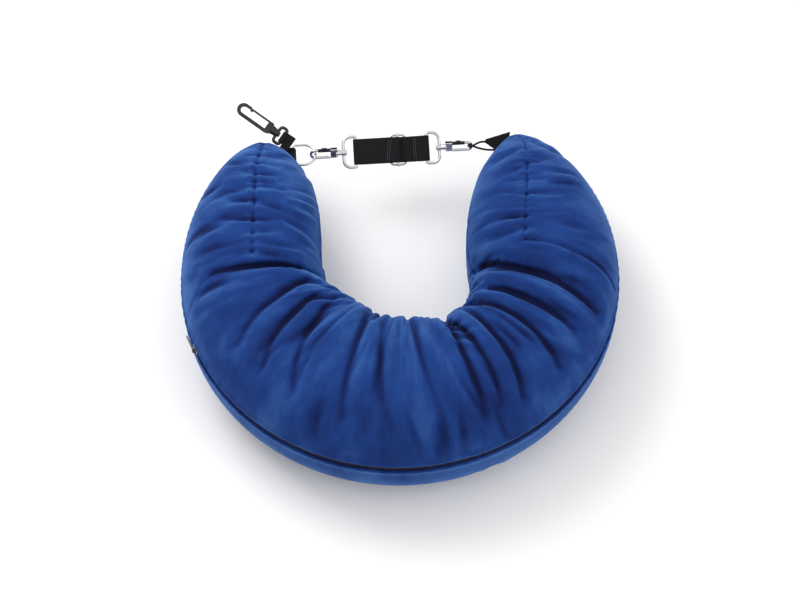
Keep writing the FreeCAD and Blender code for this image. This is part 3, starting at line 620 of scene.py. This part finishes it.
def cover_pieces():
    fine, crease, cloth = build_cover()
    rows, cols = fine.shape[:2]
    normal = surface_normals(fine)
    ring_places = fine_rows()
    seam_col = int(np.argmin(np.abs(ring_places - INNER_SEAM)))
    middle = (rows - 1) // 2
    made = {}
    upper_cols = list(range(0, seam_col + 1))
    lower_cols = list(range(seam_col, cols)) + [0]
    halves = {"left": list(range(0, middle + 1)), "right": list(range(middle, rows))}
    for side, row_list in halves.items():
        pole = pole_left if side == "left" else pole_right
        pole_n = np.array([0.0, 1.0, 0.0])
        for level, col_list in (("upper", upper_cols), ("lower", lower_cols)):
            block = fine[np.ix_(row_list, col_list)]
            block_n = normal[np.ix_(row_list, col_list)]
            verts = np.concatenate([block.reshape(-1, 3), [pole]])
            normals = np.concatenate([block_n.reshape(-1, 3), [pole_n]])
            faces = [f[::-1] for f in grid_faces(len(row_list), len(col_list))]
            tip, wide = len(verts) - 1, len(col_list)
            end = 0 if side == "left" else (len(row_list) - 1) * wide
            for j in range(wide - 1):
                a, b = end + j, end + j + 1
                faces.append((tip, a, b) if side == "left" else (tip, b, a))
            obj = add_mesh(f"cover_{side}_{level}", verts, faces, VELOUR)
            obj.data.normals_split_custom_set_from_vertices([tuple(n) for n in normals])
            # The crease values are carried as painted shade for the velour's colour.
            shade = obj.data.attributes.new("crease", "FLOAT", "POINT")
            shade.data.foreach_set("value", np.append(crease[np.ix_(row_list, col_list)].ravel(), 0.0))
            place = obj.data.attributes.new("cloth", "FLOAT_VECTOR", "POINT")
            spots = cloth[np.ix_(row_list, col_list)].reshape(-1, 3)
            place.data.foreach_set("vector", np.concatenate([spots, spots[-1:]]).ravel())
            made[side, level] = obj
    return made


covers = cover_pieces()
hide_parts("left_arm_base_panel", "left_arm_inner_panel", "left_arm_outer_panel",
            "back_upper_panel", "left_arm_filling")
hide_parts("left_arm_lower_panel", "back_lower_panel", "back_filling")
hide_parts("right_arm_base_panel", "right_arm_inner_panel", "right_arm_outer_panel",
            "back_upper_panel", "right_arm_filling")
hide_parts("right_arm_lower_panel", "back_lower_panel", "back_filling")
for (side, level), piece in covers.items():
    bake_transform(piece)


def dress(piece, slot, body, *nodes):
    """Hands a piece to the body it rides on and hides the CAD nodes it stands for. The slot argument is not used.
    """
    if body:
        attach(piece, body)
    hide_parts(*nodes)


# ------------------------------------------------------------------ zip
COIL_R = 206.5


def on_circle(deg, r, z):
    a = math.radians(deg)
    return [r * math.cos(a), r * math.sin(a), z]


def coil_teeth(name, sign):
    """A spiral of monofilament: one rounded loop per tooth, its head reaching into the gap."""
    verts, faces = [], []
    pitch = math.degrees(1.35 / COIL_R)
    count = int(143.0 / pitch)
    sides = 5
    for i in range(count):
        deg = 198.3 + pitch * (i + (0.5 if sign > 0 else 0))
        loop = []
        for k in range(8):
            t = 2 * math.pi * k / 8
            r = COIL_R - 0.85 + 0.62 * math.cos(t)
            z = SEAM_Z + sign * (1.45 + 1.05 * math.sin(t))
            loop.append(np.array(on_circle(deg + pitch * 0.3 * math.sin(t * 0.5), r, z)))
        out = np.array(on_circle(deg, 1, 0))
        up = np.array([0, 0, 1.0])
        around = np.cross(up, out)
        start = len(verts)
        for k, p in enumerate(loop):
            t = 2 * math.pi * k / 8
            radial = out * math.cos(t) + up * sign * math.sin(t)
            for m in range(sides):
                a = 2 * math.pi * m / sides
                verts.append(p + (radial * math.cos(a) + around * math.sin(a)) * 0.33)
        for k in range(8):
            for m in range(sides):
                a, b = start + k * sides, start + (k + 1) % 8 * sides
                faces.append((a + m, a + (m + 1) % sides, b + (m + 1) % sides, b + m))
    return add_mesh(name, verts, faces, COIL)


def tape_strip(name, sign):
    """Woven tape from the coil inwards behind the plush, with a fine rib."""
    rows = []
    degs = np.arange(197.0, 343.0, 0.35)
    for i, deg in enumerate(degs):
        row = []
        for k, (r, z) in enumerate(((205.2, 0.7), (204.2, 1.8), (203.4, 3.2), (203.1, 5.0), (202.7, 7.0))):
            row.append(on_circle(deg, r + 0.08 * ((i + k) % 2), SEAM_Z + sign * z))
        back = [on_circle(deg, math.hypot(p[0], p[1]) - 0.5, p[2]) for p in row[::-1]]
        rows.append(row + back)
    cols = len(rows[0])
    verts = np.array(rows).reshape(-1, 3)
    return add_mesh(name, verts, grid_faces(len(degs), cols, close_cols=True), TAPE)


for side, sign in (("upper", 1), ("lower", -1)):
    dress(coil_teeth(f"zip_coil_{side}_teeth", sign), "zip_coil", "pillow_back", f"zip_{side}_coil")
    dress(tape_strip(f"zip_tape_{side}_woven", sign), "zip_tape", "pillow_back", f"zip_{side}_tape")


# ------------------------------------------------------------------ strap webbing
STRAP_Y, STRAP_Z = 147.0, 64.0
LEFT_BAR, RIGHT_BAR, ADJUSTER = -34.5, 34.5, 6.5      # bars of the two loops and of the adjuster, along X
STRAP_TILT, HOOK_TILT = 30, 70      # turn of the webbing and of the hooks about X, in degrees


def placed(place, angle, axis="X"):
    return Matrix.Translation(place) @ Matrix.Rotation(math.radians(angle), 4, axis)


STRAP = placed((0, STRAP_Y, STRAP_Z), STRAP_TILT)


def through(matrix, points):
    return np.array([list(matrix @ Vector(p)) for p in points])


def webbing(name, path, width, matrix, phase=0.0, thick=1.3, squeeze=None, step=0.42):
    """A woven strap along a path of (x, z), flat across Y. Warp ribs alternate like a plain weave."""
    line = resample(path, step)
    tangent = np.gradient(line, axis=0)
    tangent /= np.linalg.norm(tangent, axis=1)[:, None]
    normal = np.stack([-tangent[:, 1], tangent[:, 0]], axis=1)
    across = int(width / 0.5)
    us = np.linspace(-1, 1, across + 1)
    verts = []
    for i, ((x, z), n) in enumerate(zip(line, normal)):
        wide = width / 2 * (squeeze(i / (len(line) - 1)) if squeeze else 1.0)
        row = []
        for side in (1, -1):
            order = us if side > 0 else us[::-1]
            for u in order:
                edge = max(abs(u) - (1 - 0.9 / wide), 0) * wide / 0.9
                half = thick / 2 * math.sqrt(max(1 - 0.75 * edge ** 2, 0.05))
                rib = u * width / 1.55 + phase
                over = math.sin(math.pi * i * step / 1.05 + math.pi * round(rib))
                weave = 0.085 * math.sin(math.pi * rib * 2) * over
                rib_line = 0.05 * math.cos(math.pi * 2 * rib)
                h = side * (half - 0.11 + weave + rib_line)
                row.append((x + n[0] * h, u * wide, z + n[1] * h))
        verts.extend(row)
    cols = 2 * (across + 1)
    faces = grid_faces(len(line), cols, close_cols=True)
    faces.append(tuple(range(cols)))
    faces.append(tuple(range(len(verts) - 1, len(verts) - 1 - cols, -1)))
    return add_mesh(name, through(matrix, verts), faces, WEBBING)


def turn(cx, cz, r, a0, a1, count=14):
    """Points of an arc from a0 to a1 degrees."""
    angles = np.radians(np.linspace(a0, a1, count))
    return [(cx + r * math.cos(a), cz + r * math.sin(a)) for a in angles]


RUN_MID, UNDER_MID, BAR_Z = -2.2, -3.6, 1.05
left_loop_path = [(LEFT_BAR + 4.2, 2.32)] + turn(LEFT_BAR, 0, 2.3, 90, 270)
left_loop_path += [(LEFT_BAR + 1.5, -2.35), (LEFT_BAR + 6, UNDER_MID), (ADJUSTER + 7.5, UNDER_MID)]
return_path = [(LEFT_BAR + 4.0, 2.32), (LEFT_BAR + 12.5, 2.36), (ADJUSTER - 12.8, 2.62)]
sewn_path = [(ADJUSTER - 13.2, 2.62), (ADJUSTER - 7, 2.86)] + turn(ADJUSTER, BAR_Z, 1.85, 90, -90)
sewn_path += [(ADJUSTER - 5, -0.82), (ADJUSTER - 11, -0.85)]
run_path = [(RIGHT_BAR - 13.8, -0.85), (RIGHT_BAR - 9.5, -0.7), (RIGHT_BAR - 6.4, 0.6), (RIGHT_BAR - 3.5, 2.05)]
run_path += turn(RIGHT_BAR, 0, 2.3, 90, -90)
run_path += [(RIGHT_BAR - 5, -2.3), (RIGHT_BAR - 8, RUN_MID), (LEFT_BAR + 9.1, RUN_MID)]
strap_parts = [
    ("strap_turn_at_left_loop", left_loop_path, "left_strap", "strap_left_loop", 0.0),
    ("strap_upper_layer", return_path, "left_strap", "strap_return_layer", 0.3),
    ("strap_end_round_adjuster", sewn_path, "adjuster", "strap_sewn_end", 0.3),
    ("strap_lower_layer", run_path, "right_strap", "strap_run", 0.1),
]
for name, path, body, node, phase in strap_parts:
    piece = webbing(name, path, 25.0, STRAP, phase)
    dress(piece, "webbing", body, node)
    if name == "strap_upper_layer":
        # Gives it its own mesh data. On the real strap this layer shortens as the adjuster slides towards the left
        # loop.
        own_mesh(piece)


def stitch_rows(name, lines, matrix, body, node, size=0.28):
    """Rows of thread, each stitch a small arch that dips into the webbing at both ends."""
    verts, faces = [], []
    for start, end, count in lines:
        start, end = np.array(start, float), np.array(end, float)
        along = (end - start) / np.linalg.norm(end - start)
        pitch = np.linalg.norm(end - start) / count
        for s in range(count):
            first = start + along * pitch * s
            base_index = len(verts)
            for i in range(7):
                f = i / 6
                lift = math.sin(math.pi * f) * 0.42 - 0.22
                p = first + along * pitch * (0.08 + 0.84 * f) + np.array([0, 0, lift])
                side = np.cross(along, [0, 0, 1.0])
                for k in range(6):
                    a = 2 * math.pi * k / 6
                    verts.append(p + (side * math.cos(a) + np.array([0, 0, 1.0]) * math.sin(a)) * size)
            for i in range(6):
                for k in range(6):
                    a, b = base_index + i * 6, base_index + (i + 1) * 6
                    faces.append((a + k, a + (k + 1) % 6, b + (k + 1) % 6, b + k))
    dress(add_mesh(name, through(matrix, verts), faces, THREAD), "thread", body, node)


at, end = ADJUSTER - 11.6, RIGHT_BAR - 10.6
stitch_rows("stitches_at_adjuster",
            [((at, -10.6, 3.36), (at + 3, 10.6, 3.44), 11),
             ((at + 2.2, -10.6, 3.46), (at + 5.2, 10.6, 3.54), 11)],
            STRAP, "adjuster", "slider_stitching")
stitch_rows("stitches_at_right_loop",
            [((end, -10.6, 0.1), (end, 10.6, 0.1), 11), ((end - 2, -10.6, -0.1), (end - 2, 10.6, -0.1), 11)],
            STRAP, "right_strap", "strap_stitching")


# ------------------------------------------------------------------ tabs at the tips
RING = Matrix.Translation((-96.0, STRAP_Y, STRAP_Z))
end_path = [(-22.0, 0.75), (-5.5, 0.75), (-2.0, 1.9)] + turn(0, 0, 2.12, 90, -90)
end_path += [(-2.0, -1.9), (-5.5, -0.75), (-22.0, -0.75)]
end_tab = webbing("left_end_tab_woven", end_path, 22.0, RING,
                  squeeze=lambda f: 0.63 + 0.37 * abs(2 * f - 1) ** 0.8)
dress(end_tab, "webbing", "left_arm", "left_end_tab")

CLIP = placed((-104.9, 160.2, 76.3), STRAP_TILT) @ Matrix.Rotation(math.radians(141.5), 4, "Z")
fold_path = [(-7.5, 0.75), (-4.5, 0.8), (-1.5, 2.15)] + turn(0, 0, 2.42, 90, -90)
fold_path += [(-1.5, -2.15), (-4.5, -0.8), (-7.5, -0.75)]
dress(webbing("clip_tab_fold", fold_path, 12.0, CLIP), "webbing", "left_arm", "clip_tab")
down = CLIP @ placed((-6.4, 0, 0), 90, "Z")
strip = webbing("clip_tab_strip", [(-6.3, 0), (8, 0.2), (27, -1.0)], 8.4, down, thick=2.7)
dress(strip, "webbing", "left_arm", "clip_tab")

apex = STRAP @ placed((92.2, 3.9, 0), -12.5, "Z")
right_tab = webbing("right_end_tab_woven", [(0, 0), (3, 0.1), (12, 0.4), (23, 0.2)], 26.0, apex, thick=2.5,
                    squeeze=lambda f: 0.12 + 0.88 * f)
dress(right_tab, "webbing", "right_arm", "right_end_tab")

# ------------------------------------------------------------------ cord
HOOK = placed((0, STRAP_Y, STRAP_Z), HOOK_TILT)
NOSE_X = 74.5                                         # centre of the right hook's nose
# Over the nose, through its eye and back underneath, in the hook's frame.
cord_points = [(17.6, 3.2, -0.7), (13.5, 4.6, 1.0), (9.0, 4.2, 2.8), (4.8, 2.0, 3.5), (2.1, 0.6, 2.2), (1.1, 0, 0),
               (2.1, -0.6, -2.2), (4.8, -2.8, -3.7), (11.0, -6.4, -4.2), (20.0, -8.8, -3.6), (36.0, -9.2, -2.1)]
knots = np.array([[NOSE_X + x, y, z] for x, y, z in cord_points])
spaced = catmull(knots[:, None, :], np.linspace(0, len(knots) - 1.001, 220), False)[:, 0, :]
cord_line = resample(spaced, 0.35)


def braid(i, k):
    return 0.09 * math.sin(i * 0.9 + k * math.pi / 2) + 0.05 * math.sin(i * 0.9 - k * math.pi / 2)


cord = tube_mesh("cord_braided", through(HOOK, cord_line), 1.02, 12, CORD, braid)
dress(cord, "cord", "right_arm", "cord_loop")

# ------------------------------------------------------------------ finishes of the CAD pieces that stay
for names, material in (
    (("d_ring", "left_hook", "right_hook", "left_swivel_loop", "right_swivel_loop", "slider_frame",
      "slider_bar"), CHROME),
    (("left_gate_pin", "right_gate_pin", "left_gate_spring", "right_gate_spring"), STEEL),
    (("left_gate", "right_gate", "zip_slider", "zip_pull"), BLACK_METAL),
    (("clip_base", "clip_hook", "clip_gate"), PLASTIC),
    (("zip_end_stops",), COIL),
):
    for name in names:
        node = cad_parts[name]
        node.data.materials.clear()
        node.data.materials.append(material)

# ------------------------------------------------------------------ floor, light and camera
floor_mat, nodes, links, bsdf = new_material("floor")
speck = noise_node(nodes, links, 3.0)
shade = ramp_node(nodes, [(0.0, (0.93, 0.93, 0.925)), (1.0, (0.95, 0.95, 0.945))])
links.new(speck.outputs["Fac"], shade.inputs[0])
links.new(shade.outputs[0], bsdf.inputs["Base Color"])
bsdf.inputs["Roughness"].default_value = 0.9
FLOOR = 3000
floor_corners = [(-FLOOR, -FLOOR, 0), (FLOOR, -FLOOR, 0), (FLOOR, FLOOR, 0), (-FLOOR, FLOOR, 0)]
floor = add_mesh("floor", floor_corners, [(0, 1, 2, 3)], floor_mat)

world = bpy.data.worlds.new("studio")
bpy.context.scene.world = world
world.use_nodes = True
nodes, links = world.node_tree.nodes, world.node_tree.links
direction = nodes.new("ShaderNodeTexCoord")
parts = nodes.new("ShaderNodeSeparateXYZ")
links.new(direction.outputs["Generated"], parts.inputs[0])
sky = ramp_node(nodes, [(0.0, (0.30, 0.30, 0.31)), (0.30, (0.34, 0.34, 0.35)), (0.55, (1.0, 0.99, 0.98)),
                        (1.0, (1.0, 0.99, 0.98))])
links.new(parts.outputs["Z"], sky.inputs[0])
links.new(sky.outputs[0], nodes["Background"].inputs[0])
nodes["Background"].inputs[1].default_value = 1.0


def area_light(name, place, target, size, power_w):
    data = bpy.data.lights.new(name, "AREA")
    data.energy, data.size = power_w, size
    obj = bpy.data.objects.new(name, data)
    obj.location = place
    obj.rotation_euler = (Vector(target) - Vector(place)).to_track_quat("-Z", "Y").to_euler()
    bpy.context.scene.collection.objects.link(obj)


area_light("key", (-0.9, 0.9, 1.5), (0, 0, 0.05), 1.1, 19)
area_light("fill", (1.3, -0.8, 1.1), (0, 0, 0.05), 1.4, 7)

elevation, azimuth, roll, distance = math.radians(60), math.radians(-1.9), math.radians(1.6), 2.5
level = math.cos(elevation)
back = Vector((math.sin(azimuth) * level, -math.cos(azimuth) * level, math.sin(elevation)))
camera_data = bpy.data.cameras.new("camera")
camera_data.lens = 118
camera_data.clip_end = 20
camera = bpy.data.objects.new("camera", camera_data)
bpy.context.scene.collection.objects.link(camera)
look = (-back).to_track_quat("-Z", "Y").to_matrix().to_4x4() @ Matrix.Rotation(-roll, 4, "Z")
up = look.to_3x3() @ Vector((0, 1, 0))
camera.matrix_world = Matrix.Translation(Vector((0, 0, 0.062)) - up * 0.019 + back * distance) @ look
bpy.context.scene.camera = camera
bpy.context.scene.view_settings.view_transform = "Standard"
